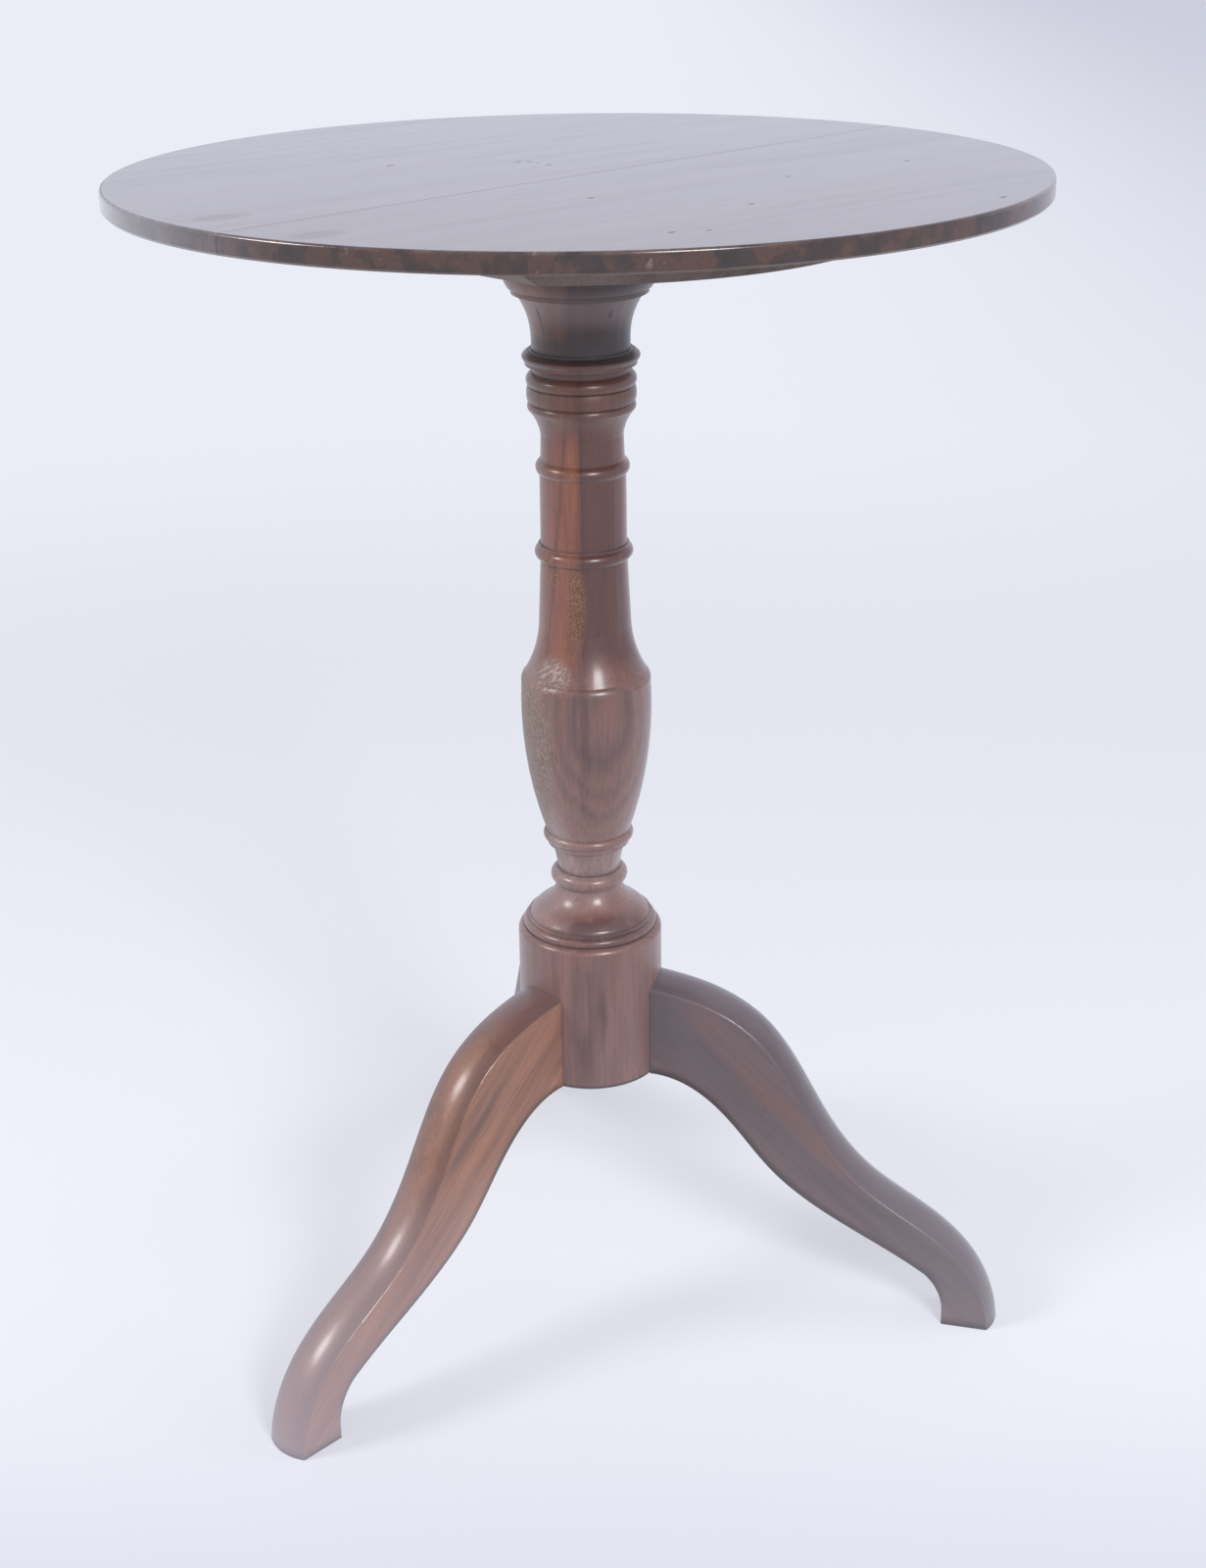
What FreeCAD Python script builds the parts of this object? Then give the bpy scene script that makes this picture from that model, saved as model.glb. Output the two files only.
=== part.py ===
import FreeCAD, Part
import math
import os
from FreeCAD import Vector

# Round occasional table: a turned column on three sawn legs carries a top of two boards.
# Millimetres, +Z up. The floor is at zero and the column's axis is the Z axis.
# The front leg points along -Y, and the boards of the top run along Y.

# The whole table
table_height = 734.0
glue_gap = 0.1
overrun = 5.0
pick_slack = 0.05
quarter_round_share = 0.293

# Top: two boards glued edge to edge and turned to a disc
top_diameter = 530.0
top_thickness = 11.0
top_upper_round = 1.6
top_lower_chamfer = 1.2
board_joint_x = 17.0

# Plate under the top: grain along X, straight chamfered sides and rounded ends
plate_length = 354.0
plate_width = 290.0
plate_thickness = 21.0
plate_chamfer = 6.0

# Screws that hold the plate up to the top
screw_length = 24.0
screw_shank_radius = 2.2
screw_head_radius = 4.4
screw_head_height = 3.0
screw_tip_length = 6.0
screw_tip_radius = 0.5
screw_slot_width = 1.0
screw_slot_depth = 1.1
screw_recess = 3.0
screw_edge = 24.0
screw_turns = (-30.0, 30.0, 150.0, 210.0)

# Column foot: a plain drum that takes the legs, left at the full size of the turning blank
column_lift = 163.0
turning_radius = 46.0
drum_height = 99.9
drum_chamfer = 1.5
drum_shoulder = 4.5
drum_top_radius = 41.8
foot_ring_rise = 5.2
foot_ring_radius = 42.4
foot_fillet_radius = 39.6
foot_fillet_rise = 2.0
dome_radius = 38.2
dome_edge_radius = 37.3
dome_edge_rise = 2.0
dome_edge_swell = 0.12
dome_turn_radius = 30.4
dome_turn_rise = 5.9
dome_swell = 0.42
dome_neck_radius = 20.3
dome_neck_rise = 14.2
dome_hollow = 1.85

# Two beads below the vase, with a tapered neck between them
low_bead_rise = 10.0
low_bead_radius = 24.4
low_neck_radius = 19.4
low_neck_rise = 17.9
low_neck_top_radius = 22.8
vase_fillet_radius = 25.8
vase_fillet_rise = 2.2
vase_bead_rise = 6.8
vase_bead_radius = 28.4

# Vase, its hollow shoulder and the tapered shaft
vase_foot_radius = 26.4
vase_middle_radius = 38.0
vase_radius = 39.9
shoulder_round_rise = 7.0
shoulder_round_radius = 37.5
shoulder_round_swell = 1.0
shoulder_middle_radius = 31.1
shaft_foot_radius = 28.3
shaft_waist_radius = 26.3
mid_bead_rise = 8.2
mid_bead_radius = 29.7
mid_fillet_radius = 27.4
mid_fillet_rise = 1.2
shaft_radius = 26.1
shaft_top_radius = 25.85
high_bead_rise = 8.8
high_bead_radius = 28.1
high_shaft_radius = 25.1
high_shaft_top_radius = 24.6

# Group of rings above the shaft
cove_rise = 14.0
cove_middle_radius = 26.5
cove_top_radius = 30.6
under_ring_rise = 5.5
under_ring_radius = 32.1
quirk_depth = 1.0
quirk_rise = 0.8
band_rise = 8.1
band_radius = 32.5
band_edge_radius = 31.9
torus_rise = 8.0
torus_radius = 32.5
torus_edge_radius = 31.2
ring_neck_radius = 28.8
ring_neck_rise = 4.3
ring_fillet_rise = 2.0
ring_fillet_radius = 33.0
ring_foot_rise = 3.2
ring_radius = 34.7
ring_swell = 0.5
ring_head_rise = 2.8
ring_head_radius = 31.6
ring_head_swell = 0.4
ring_cap_rise = 0.8
ring_cap_radius = 30.8

# Capital: hollow neck, fine lip, ovolo and abacus, which is the blank's full size again
hollow_foot_radius = 29.0
hollow_neck_rise = 6.0
hollow_middle_radius = 30.9
hollow_top_radius = 37.6
hollow_rise = 26.8
lip_radius = 40.1
lip_rise = 3.4
ovolo_foot_radius = 42.2
ovolo_middle_radius = 44.9
ovolo_rise = 11.4
abacus_rise = 21.2
abacus_round = 2.0

# How the long turned stretches share the length that the mouldings leave
vase_share = 0.432
shoulder_share = 0.128
waist_share = 0.187
shaft_share = 0.187

# Tenon on the column, wedged in the plate
tenon_radius = 16.0
wedge_depth = 15.0
wedge_head = 3.0
wedge_tip = 1.0

# Legs: sawn from plank to a side outline, with a crowned back
leg_turns = {"leg_front": 270.0, "leg_rear_right": 30.0, "leg_rear_left": 150.0}
leg_thickness = 32.5
leg_joint_height = 61.5
leg_crown = 4.5
leg_easing = 1.5
foot_reach = 269.0
foot_length = 30.0
heel_height = 9.0
heel_hollow = 3.2
blank_margin = 8.0

# Sliding dovetail between leg and drum, open at the foot
tongue_depth = 16.0
tongue_lead = 4.5
tongue_lap = 9.0
tongue_neck = 13.0
tongue_flare = 2.5
tongue_stop = 9.0

# Side outline of a leg: shares of its reach beyond the drum and of its height at the drum.
# The back runs past both ends, into the drum and below the floor, where it is cut off.
back_shares = (
    (-0.08, 1.012), (0.0, 1.0), (0.151, 0.964), (0.298, 0.877), (0.401, 0.739), (0.503, 0.562),
    (0.622, 0.425), (0.798, 0.308), (0.926, 0.192), (0.987, 0.071), (1.0, -0.05),
)
# The underside: shares of the same reach and of the height of the column's foot.
belly_shares = (
    (0.0, 1.0), (0.107, 0.957), (0.218, 0.832), (0.352, 0.617), (0.530, 0.438), (0.708, 0.306),
    (0.811, 0.221),
)

plate_top_z = table_height - top_thickness
plate_foot_z = plate_top_z - plate_thickness
leg_top_z = column_lift + leg_joint_height
leg_spread = foot_reach - turning_radius


def prism(points, direction):
    """Solid made by moving a closed outline of straight sides along a direction."""
    return Part.Face(Part.makePolygon(points + points[:1])).extrude(direction)


def revolve(edges):
    """Solid turned round the Z axis from a closed half outline."""
    return Part.Face(Part.Wire(edges)).revolve(Vector(0, 0, 0), Vector(0, 0, 1), 360)


class Turning:
    """Half outline of a turned piece, carried up from its foot by straight stretches and arcs."""

    def __init__(self, radius, height):
        self.edges = []
        self.end = Vector(radius, 0, height)

    def line(self, radius, rise=0):
        """Go straight to a radius, a rise higher."""
        there = Vector(radius, 0, self.end.z + rise)
        self.edges.append(Part.LineSegment(self.end, there).toShape())
        self.end = there

    def arc(self, middle_radius, radius, rise):
        """Go to a radius, a rise higher, on the arc that has middle_radius at half the rise."""
        middle = Vector(middle_radius, 0, self.end.z + rise / 2)
        there = Vector(radius, 0, self.end.z + rise)
        self.edges.append(Part.Arc(self.end, middle, there).toShape())
        self.end = there

    def bow(self, swell, radius, rise):
        """Go to a radius, a rise higher, on an arc that swells out from its chord (in if negative)."""
        there = Vector(radius, 0, self.end.z + rise)
        chord = there - self.end
        outward = Vector(chord.z, 0, -chord.x).normalize()
        middle = (self.end + there) / 2 + outward * swell
        self.edges.append(Part.Arc(self.end, middle, there).toShape())
        self.end = there

    def solid(self):
        """Close the outline on the axis and turn it."""
        foot = self.edges[0].valueAt(self.edges[0].FirstParameter)
        corners = [self.end, Vector(0, 0, self.end.z), Vector(0, 0, foot.z), foot]
        return revolve(self.edges + Part.makePolygon(corners).Edges)


def turn_foot(outline):
    """Drum for the legs, then the ring and the dome that stand on it."""
    outline.line(turning_radius, drum_chamfer)
    outline.line(turning_radius, drum_height - drum_chamfer - drum_shoulder)
    outline.bow(drum_shoulder * quarter_round_share, drum_top_radius, drum_shoulder)
    outline.arc(foot_ring_radius, foot_fillet_radius, foot_ring_rise)
    outline.line(foot_fillet_radius, foot_fillet_rise)
    outline.line(dome_radius)
    outline.bow(dome_edge_swell, dome_edge_radius, dome_edge_rise)
    outline.bow(dome_swell, dome_turn_radius, dome_turn_rise)
    outline.bow(-dome_hollow, dome_neck_radius, dome_neck_rise)


def turn_beads(outline):
    """Two beads under the vase and the tapered neck between them."""
    outline.arc(low_bead_radius, low_neck_radius, low_bead_rise)
    outline.line(low_neck_top_radius, low_neck_rise)
    outline.line(vase_fillet_radius)
    outline.line(vase_fillet_radius, vase_fillet_rise)
    outline.arc(vase_bead_radius, vase_foot_radius, vase_bead_rise)


def turn_shaft(outline, stretch):
    """Vase, hollow shoulder and tapered shaft, which share the stretch, with a bead at each break."""
    outline.arc(vase_middle_radius, vase_radius, vase_share * stretch)
    outline.bow(shoulder_round_swell, shoulder_round_radius, shoulder_round_rise)
    outline.arc(shoulder_middle_radius, shaft_foot_radius, shoulder_share * stretch)
    outline.line(shaft_waist_radius, waist_share * stretch)
    outline.arc(mid_bead_radius, mid_fillet_radius, mid_bead_rise)
    outline.line(mid_fillet_radius, mid_fillet_rise)
    outline.line(shaft_radius)
    outline.line(shaft_top_radius, shaft_share * stretch)
    outline.arc(high_bead_radius, high_shaft_radius, high_bead_rise)
    rest_share = 1 - vase_share - shoulder_share - waist_share - shaft_share
    outline.line(high_shaft_top_radius, rest_share * stretch)


def turn_rings(outline):
    """Cove, half-round, band, torus and the sharp main ring, parted by narrow quirks."""
    outline.arc(cove_middle_radius, cove_top_radius, cove_rise)
    outline.arc(under_ring_radius, band_edge_radius - quirk_depth, under_ring_rise)
    outline.line(band_edge_radius, quirk_rise)
    outline.arc(band_radius, band_edge_radius, band_rise)
    outline.line(torus_edge_radius, quirk_rise)
    outline.arc(torus_radius, ring_neck_radius, torus_rise)
    outline.line(ring_neck_radius, ring_neck_rise)
    outline.line(ring_fillet_radius)
    outline.line(ring_fillet_radius, ring_fillet_rise)
    outline.bow(ring_swell, ring_radius, ring_foot_rise)
    outline.bow(ring_head_swell, ring_head_radius, ring_head_rise)
    outline.line(ring_cap_radius)
    outline.line(ring_cap_radius, ring_cap_rise)


def turn_capital(outline):
    """Hollow neck, fine lip, ovolo and the abacus that seats under the plate."""
    outline.line(hollow_foot_radius)
    outline.line(hollow_foot_radius, hollow_neck_rise)
    outline.arc(hollow_middle_radius, hollow_top_radius, hollow_rise)
    outline.line(lip_radius)
    outline.line(lip_radius, lip_rise)
    outline.line(ovolo_foot_radius)
    outline.arc(ovolo_middle_radius, turning_radius, ovolo_rise)
    outline.line(turning_radius, abacus_rise - abacus_round)
    outline.bow(abacus_round * quarter_round_share, turning_radius - abacus_round, abacus_round)


def moulding_rise():
    """Height of all the mouldings that keep their own size, foot to abacus."""
    foot = drum_height + foot_ring_rise + foot_fillet_rise
    dome = dome_edge_rise + dome_turn_rise + dome_neck_rise
    low_beads = low_bead_rise + low_neck_rise + vase_fillet_rise + vase_bead_rise
    shaft_beads = shoulder_round_rise + mid_bead_rise + mid_fillet_rise + high_bead_rise
    rings = cove_rise + under_ring_rise + quirk_rise + band_rise + quirk_rise + torus_rise + ring_neck_rise
    main_ring = ring_fillet_rise + ring_foot_rise + ring_head_rise + ring_cap_rise
    capital = hollow_neck_rise + hollow_rise + lip_rise + ovolo_rise + abacus_rise
    return foot + dome + low_beads + shaft_beads + rings + main_ring + capital


def wedge_solid(gap):
    """Wedge across the tenon, thick end up, with a gap of room all round."""
    head = wedge_head / 2 + gap
    tip = wedge_tip / 2 + gap
    low = plate_top_z - wedge_depth - gap
    half_width = tenon_radius + gap
    outline = [
        Vector(-head, -half_width, plate_top_z),
        Vector(head, -half_width, plate_top_z),
        Vector(tip, -half_width, low),
        Vector(-tip, -half_width, low),
    ]
    return prism(outline, Vector(0, 2 * half_width, 0))


def tenon_wedge():
    """Wedge trimmed to the round of the tenon and flush with the plate."""
    trim_foot = Vector(0, 0, plate_top_z - wedge_depth - glue_gap)
    round_trim = Part.makeCylinder(tenon_radius, wedge_depth, trim_foot)
    return wedge_solid(0).common(round_trim)


def column():
    """Turned column with its tenon, kerf for the wedge and three dovetail sockets."""
    outline = Turning(turning_radius - drum_chamfer, column_lift)
    turn_foot(outline)
    turn_beads(outline)
    turn_shaft(outline, plate_foot_z - column_lift - moulding_rise())
    turn_rings(outline)
    turn_capital(outline)
    outline.line(tenon_radius)
    outline.line(tenon_radius, plate_thickness - glue_gap)
    shape = outline.solid().cut(wedge_solid(glue_gap))
    socket = tongue(glue_gap, overrun)
    for turn in leg_turns.values():
        shape = shape.cut(about_axis(socket, turn))
    return shape


def about_axis(shape, degrees):
    """Copy of a shape turned round the column's axis."""
    copy = shape.copy()
    copy.rotate(Vector(0, 0, 0), Vector(0, 0, 1), degrees)
    return copy


def tongue(gap, below):
    """Dovetail tongue of a leg along +X, grown by a gap on its flanks, root and head."""
    root_x = turning_radius - tongue_depth - gap
    shoulder_x = turning_radius - tongue_lead
    outer_x = turning_radius + tongue_lap
    neck = tongue_neck / 2 + gap
    root = neck + tongue_flare
    foot_z = column_lift - below
    head_z = leg_top_z - tongue_stop + gap
    outline = [
        Vector(root_x, -root, foot_z),
        Vector(shoulder_x, -neck, foot_z),
        Vector(outer_x, -neck, foot_z),
        Vector(outer_x, neck, foot_z),
        Vector(shoulder_x, neck, foot_z),
        Vector(root_x, root, foot_z),
    ]
    return prism(outline, Vector(0, 0, head_z - foot_z))


def leg_curve(shares, height):
    """Smooth curve in the leg's plane through points given as shares of its spread and a height."""
    points = [Vector(turning_radius + out * leg_spread, 0, up * height) for out, up in shares]
    curve = Part.BSplineCurve()
    curve.interpolate(points)
    return curve


def leg_blank(back):
    """Plank sawn to the leg's side outline, standing proud of the finished back."""
    proud = back.copy()
    proud.translate(Vector(blank_margin, 0, blank_margin))
    belly = leg_curve(belly_shares, column_lift)
    top = proud.toShape()
    top_start = proud.value(proud.FirstParameter)
    top_end = proud.value(proud.LastParameter)
    belly_start = belly.value(belly.FirstParameter)
    belly_end = belly.value(belly.LastParameter)
    inner_foot = Vector(top_start.x, 0, column_lift)
    heel_top = Vector(foot_reach - foot_length, 0, heel_height)
    heel_foot = Vector(heel_top.x, 0, top_end.z - blank_margin)
    toe_foot = Vector(top_end.x, 0, heel_foot.z)
    chord = heel_top - belly_end
    into_leg = Vector(-chord.z, 0, chord.x).normalize()
    hollow_middle = (belly_end + heel_top) / 2 + into_leg * heel_hollow
    edges = [
        Part.LineSegment(inner_foot, belly_start).toShape(),
        belly.toShape(),
        Part.Arc(belly_end, hollow_middle, heel_top).toShape(),
        Part.LineSegment(heel_top, heel_foot).toShape(),
        Part.LineSegment(heel_foot, toe_foot).toShape(),
        Part.LineSegment(toe_foot, top_end).toShape(),
        top,
        Part.LineSegment(top_start, inner_foot).toShape(),
    ]
    outline = Part.Wire(Part.__sortEdges__(edges))
    outline.translate(Vector(0, -leg_thickness / 2, 0))
    return Part.Face(outline).extrude(Vector(0, leg_thickness, 0))


def crown_cutter(back):
    """What the spokeshave takes off: all that lies above the crowned back, along the whole curve."""
    half_chord = leg_thickness / 2
    crown_radius = (half_chord ** 2 + leg_crown ** 2) / (2 * leg_crown)
    half_width = half_chord + leg_crown
    edge_rise = leg_crown - crown_radius + math.sqrt(crown_radius ** 2 - half_width ** 2)
    start = back.value(back.FirstParameter)
    along = back.tangent(back.FirstParameter)[0]
    up = Vector(-along.z, 0, along.x)
    side = Vector(0, half_width, 0)
    left = start - side + up * edge_rise
    right = start + side + up * edge_rise
    ceiling = up * (leg_crown + 2 * blank_margin)
    arch = Part.Arc(left, start + up * leg_crown, right).toShape()
    lid = Part.makePolygon([right, start + side + ceiling, start - side + ceiling, left])
    sweep = Part.BRepOffsetAPI.MakePipeShell(Part.Wire(back.toShape()))
    sweep.setBiNormalMode(Vector(0, 1, 0))
    sweep.add(Part.Wire([arch] + lid.Edges))
    sweep.build()
    sweep.makeSolid()
    return sweep.shape()


def ease_arrises(shape):
    """Round the arrises of both flanks, but not at the two ends that are cut off later."""
    whole = shape.BoundBox
    chosen = []
    for edge in shape.Edges:
        box = edge.BoundBox
        in_flank = box.YLength < pick_slack
        at_drum_end = box.XMax - whole.XMin < pick_slack
        at_floor_end = box.ZMax - whole.ZMin < pick_slack
        if in_flank and not at_drum_end and not at_floor_end:
            chosen.append(edge)
    return shape.makeFillet(leg_easing, chosen)


def leg():
    """One leg along +X: sawn, crowned, eased, coped to the drum and cut level at the floor."""
    back = leg_curve(back_shares, leg_top_z)
    shape = leg_blank(back).cut(crown_cutter(back))
    shape = ease_arrises(shape)
    drum = Part.makeCylinder(turning_radius + glue_gap, table_height)
    floor_size = foot_reach + 2 * blank_margin
    floor = Part.makeBox(floor_size, leg_thickness + 2 * overrun, floor_size)
    floor.translate(Vector(0, -leg_thickness / 2 - overrun, -floor_size))
    shape = shape.cut(drum).cut(floor)
    return shape.fuse(tongue(0, 0)).removeSplitter()


def top_disc():
    """Round top with a softened upper edge and a fine chamfer below."""
    outline = Turning(top_diameter / 2 - top_lower_chamfer, plate_top_z)
    outline.line(top_diameter / 2, top_lower_chamfer)
    outline.line(top_diameter / 2, top_thickness - top_lower_chamfer - top_upper_round)
    outline.bow(top_upper_round * quarter_round_share, top_diameter / 2 - top_upper_round, top_upper_round)
    return outline.solid()


def top_boards(screw_holes):
    """The two boards of the top, parted along the joint, with pilot holes from below."""
    disc = top_disc().cut(screw_holes)
    half = Part.makeBox(top_diameter, 2 * top_diameter, table_height)
    left = half.copy()
    left.translate(Vector(board_joint_x - top_diameter, -top_diameter, 0))
    right = half.copy()
    right.translate(Vector(board_joint_x, -top_diameter, 0))
    return disc.common(left), disc.common(right)


def under_plate(screw_holes):
    """Plate between column and top, with its round mortise and screw holes."""
    half = plate_width / 2
    low_half = half - plate_chamfer
    start_x = -plate_length / 2
    section = [
        Vector(start_x, -low_half, plate_foot_z),
        Vector(start_x, low_half, plate_foot_z),
        Vector(start_x, half, plate_foot_z + plate_chamfer),
        Vector(start_x, half, plate_top_z),
        Vector(start_x, -half, plate_top_z),
        Vector(start_x, -half, plate_foot_z + plate_chamfer),
    ]
    bar = prism(section, Vector(plate_length, 0, 0))
    rounding = Part.makeCylinder(plate_length / 2, plate_thickness, Vector(0, 0, plate_foot_z))
    mortise = Part.makeCylinder(tenon_radius + glue_gap, table_height)
    return bar.common(rounding).cut(mortise).cut(screw_holes)


def screw_solid(gap, recess):
    """Wood screw, head down, with a gap of room and a recess below the head for its hole."""
    outline = Turning(screw_head_radius + gap, plate_foot_z + screw_recess - recess)
    if recess:
        outline.line(screw_head_radius + gap, recess)
    outline.line(screw_shank_radius + gap, screw_head_height)
    outline.line(screw_shank_radius + gap, screw_length - screw_head_height - screw_tip_length)
    outline.line(screw_tip_radius + gap, screw_tip_length + gap)
    return outline.solid()


def slotted_screw():
    """Wood screw with its driver slot."""
    slot = Part.makeBox(2 * screw_head_radius, screw_slot_width, screw_slot_depth)
    slot.translate(Vector(-screw_head_radius, -screw_slot_width / 2, plate_foot_z + screw_recess))
    return screw_solid(0, 0).cut(slot)


def at_screws(shape):
    """Copies of a shape at every screw: two at each rounded end and one at each straight side."""
    at_end = shape.translated(Vector(plate_length / 2 - screw_edge, 0, 0))
    at_side = Vector(0, plate_width / 2 - screw_edge, 0)
    ends = [about_axis(at_end, turn) for turn in screw_turns]
    return Part.makeCompound(ends + [shape.translated(at_side), shape.translated(-at_side)])


os.makedirs("parts", exist_ok=True)
holes = at_screws(screw_solid(glue_gap, screw_recess + overrun))
board_left, board_right = top_boards(holes)
nodes = {
    "top_board_left": board_left,
    "top_board_right": board_right,
    "under_plate": under_plate(holes),
    "plate_screws": at_screws(slotted_screw()),
    "column": column(),
    "tenon_wedge": tenon_wedge(),
}
one_leg = leg()
for name, turn in leg_turns.items():
    nodes[name] = about_axis(one_leg, turn)
for name, shape in nodes.items():
    shape.exportStep("parts/" + name + ".step")
    print(name, len(shape.Solids), shape.isValid(), round(shape.Volume))
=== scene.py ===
import bmesh
import bpy
import math
from mathutils import Euler, Matrix, Vector

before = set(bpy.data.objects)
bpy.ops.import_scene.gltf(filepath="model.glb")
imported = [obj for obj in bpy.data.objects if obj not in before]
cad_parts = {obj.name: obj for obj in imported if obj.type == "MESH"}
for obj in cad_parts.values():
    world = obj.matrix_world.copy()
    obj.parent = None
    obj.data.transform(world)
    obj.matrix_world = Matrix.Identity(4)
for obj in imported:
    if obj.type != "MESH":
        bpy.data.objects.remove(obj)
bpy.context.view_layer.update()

# The column: one length of rosewood, turned between centres to beads, a vase, a dome and a drum.
# An orange band and a dark heartwood band meet in a line down its front; the vase has curved veins.
# Its old polish shines softly, holds dust and painted shade in the quirks, and is worn on the shaft
# and the vase.
MM = 0.001


def linear(text):
    """Linear colour of an sRGB hex value."""
    parts = [int(text[i:i + 2], 16) / 255 for i in (1, 3, 5)]
    return [c / 12.92 if c <= 0.04045 else ((c + 0.055) / 1.055) ** 2.4 for c in parts] + [1.0]


def node(tree, kind, links, out=0, stops=(), **settings):
    """Add a node with its settings, any colour stops, and a value or link for each input.
    Give one of its outputs."""
    made = tree.nodes.new("ShaderNode" + kind)
    for name, value in settings.items():
        setattr(made, name, value)
    for key, value in links.items():
        if isinstance(value, bpy.types.NodeSocket):
            tree.links.new(value, made.inputs[key])
        else:
            made.inputs[key].default_value = value
    if stops:
        marks = made.color_ramp.elements
        marks.remove(marks[1])
        marks[0].position = stops[0][0]
        marks[0].color = linear(stops[0][1])
        for position, colour in stops[1:]:
            marks.new(position).color = linear(colour)
    return made.outputs[out] if made.outputs else made


# Inputs and settings of a Mix node that lays one colour over another, and of a soft change.
SHARE, UNDER, OVER = 0, 6, 7
COLOURS = {"data_type": "RGBA", "out": 2}
SMOOTH = {"interpolation_type": "SMOOTHSTEP"}


def sawn_rosewood(name, heart, turn, lean, sway):
    """A plank of rosewood before its colour: the frame of its grain, and the patterns along it.
    X runs with the grain and X itself is the heart of the tree, through a point given in mm.
    Each pattern has a width in mm and is drawn out along the grain. Fibre and pores are drawn
    about three times as coarse as they are, to show at all."""
    material = bpy.data.materials.new(name)
    material.use_nodes = True
    tree = material.node_tree
    tree.nodes.clear()
    place = node(tree, "TexCoord", {}, out="Object")
    grain = node(tree, "Mapping", {
        "Vector": place, "Location": Vector(heart) * MM, "Rotation": Euler((0, lean, turn)),
    }, vector_type="TEXTURE")
    plank = {"material": material, "tree": tree, "place": place, "grain": grain}
    for pattern, width, drawn_out, detail, roughness in (
        ("wander", 40, 6, 4, 0.55),
        ("smoke", 13, 7, 5, 0.6),
        ("fibre", 1.4, 40, 3, 0.6),
        ("pores", 0.8, 12, 1, 0.5),
        ("patches", 22, 3, 3, 0.5),
    ):
        along = node(tree, "Mapping", {"Vector": grain, "Scale": (1 / drawn_out, 1, 1)})
        plank[pattern] = node(tree, "TexNoise", {
            "Vector": along, "Scale": 1 / (width * MM), "Detail": detail, "Roughness": roughness,
        })
    plank["wander"] = node(tree, "Math", {0: plank["wander"], 1: 0.5}, operation="SUBTRACT")
    plank["pores"] = node(tree, "MapRange", {
        "Value": plank["pores"], "From Min": 0.64, "From Max": 0.74,
    })
    across = node(tree, "VectorMath", {0: grain, 1: (0, 1, 1)}, operation="MULTIPLY")
    from_heart = node(tree, "VectorMath", {0: across}, out="Value", operation="LENGTH")
    plank["growth"] = node(tree, "Math", {
        0: plank["wander"], 1: sway * MM, 2: from_heart,
    }, operation="MULTIPLY_ADD")
    return plank


def banded(plank, across, start, end, bands):
    """Bands of colour side by side in the wood, from start to end in mm of a measure across it."""
    tree = plank["tree"]
    share = node(tree, "MapRange", {
        "Value": across, "From Min": start * MM, "From Max": end * MM,
    })
    return node(tree, "ValToRGB", {"Fac": share}, stops=bands)


DRUM_FOOT = 163.0
LEFT = (-0.712, -0.702, 0.0)
LINE_SWAY = 9.0
BAND_LEAN = 0.1
turned = sawn_rosewood(
    "turned_rosewood_old_polish",
    heart=(-43.3, 25.0, 0.0), turn=math.radians(150.0), lean=-math.pi / 2, sway=9.0,
)
wood = turned["tree"]
height = node(wood, "SeparateXYZ", {0: turned["place"]}, out="Z")
leftward = node(wood, "VectorMath", {
    0: turned["place"], 1: LEFT,
}, out="Value", operation="DOT_PRODUCT")
leftward = node(wood, "Math", {
    0: turned["wander"], 1: LINE_SWAY * MM, 2: leftward,
}, operation="MULTIPLY_ADD")
leaning = node(wood, "Math", {0: height, 1: BAND_LEAN, 2: leftward}, operation="MULTIPLY_ADD")
orange_side = banded(turned, leaning, 50.0, 90.0, [
    (0.0, "#6f4535"), (0.16, "#7a4a36"), (0.24, "#86513b"), (0.4, "#834f3b"), (0.45, "#673e32"),
    (0.5, "#834f3e"), (0.66, "#774a3a"), (0.76, "#785a50"), (1.0, "#7d665f"),
])
dark_side = banded(turned, turned["growth"], 55.0, 105.0, [
    (0.0, "#9a7468"), (0.14, "#95695c"), (0.26, "#6e463c"), (0.36, "#593630"), (0.48, "#56332d"),
    (0.56, "#6b4137"), (0.72, "#7a4b3d"), (0.8, "#684138"), (0.88, "#74493d"), (1.0, "#6f463b"),
])
# Painted shade under the top, for the hollow and all above it: darkest on the right, lighter to the
# left.
capital_shade = banded(turned, leftward, -20.0, 25.0, [
    (0.0, "#362724"), (0.35, "#352421"), (0.45, "#452d27"), (0.55, "#382521"), (0.68, "#684432"),
    (0.8, "#5a3a2e"), (1.0, "#7f5845"),
])
red_part = banded(turned, turned["growth"], 66.0, 100.0, [
    (0.0, "#937b76"), (0.14, "#8f736c"), (0.27, "#88665d"), (0.33, "#7a5b54"), (0.38, "#815f55"),
    (0.42, "#7d5b52"), (0.456, "#6f524d"), (0.505, "#7e5b52"), (0.54, "#785750"),
    (0.565, "#70534e"), (0.61, "#785850"), (0.635, "#72534d"), (0.665, "#614a48"),
    (0.71, "#7a5851"), (0.77, "#745852"), (0.86, "#80605a"), (1.0, "#7d5e57"),
])
meeting = node(wood, "MapRange", {
    "Value": leftward, "From Min": 0.2 * MM, "From Max": 2.0 * MM,
}, **SMOOTH)
turned_colour = node(wood, "Mix", {
    SHARE: meeting, UNDER: dark_side, OVER: orange_side,
}, **COLOURS)
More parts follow.
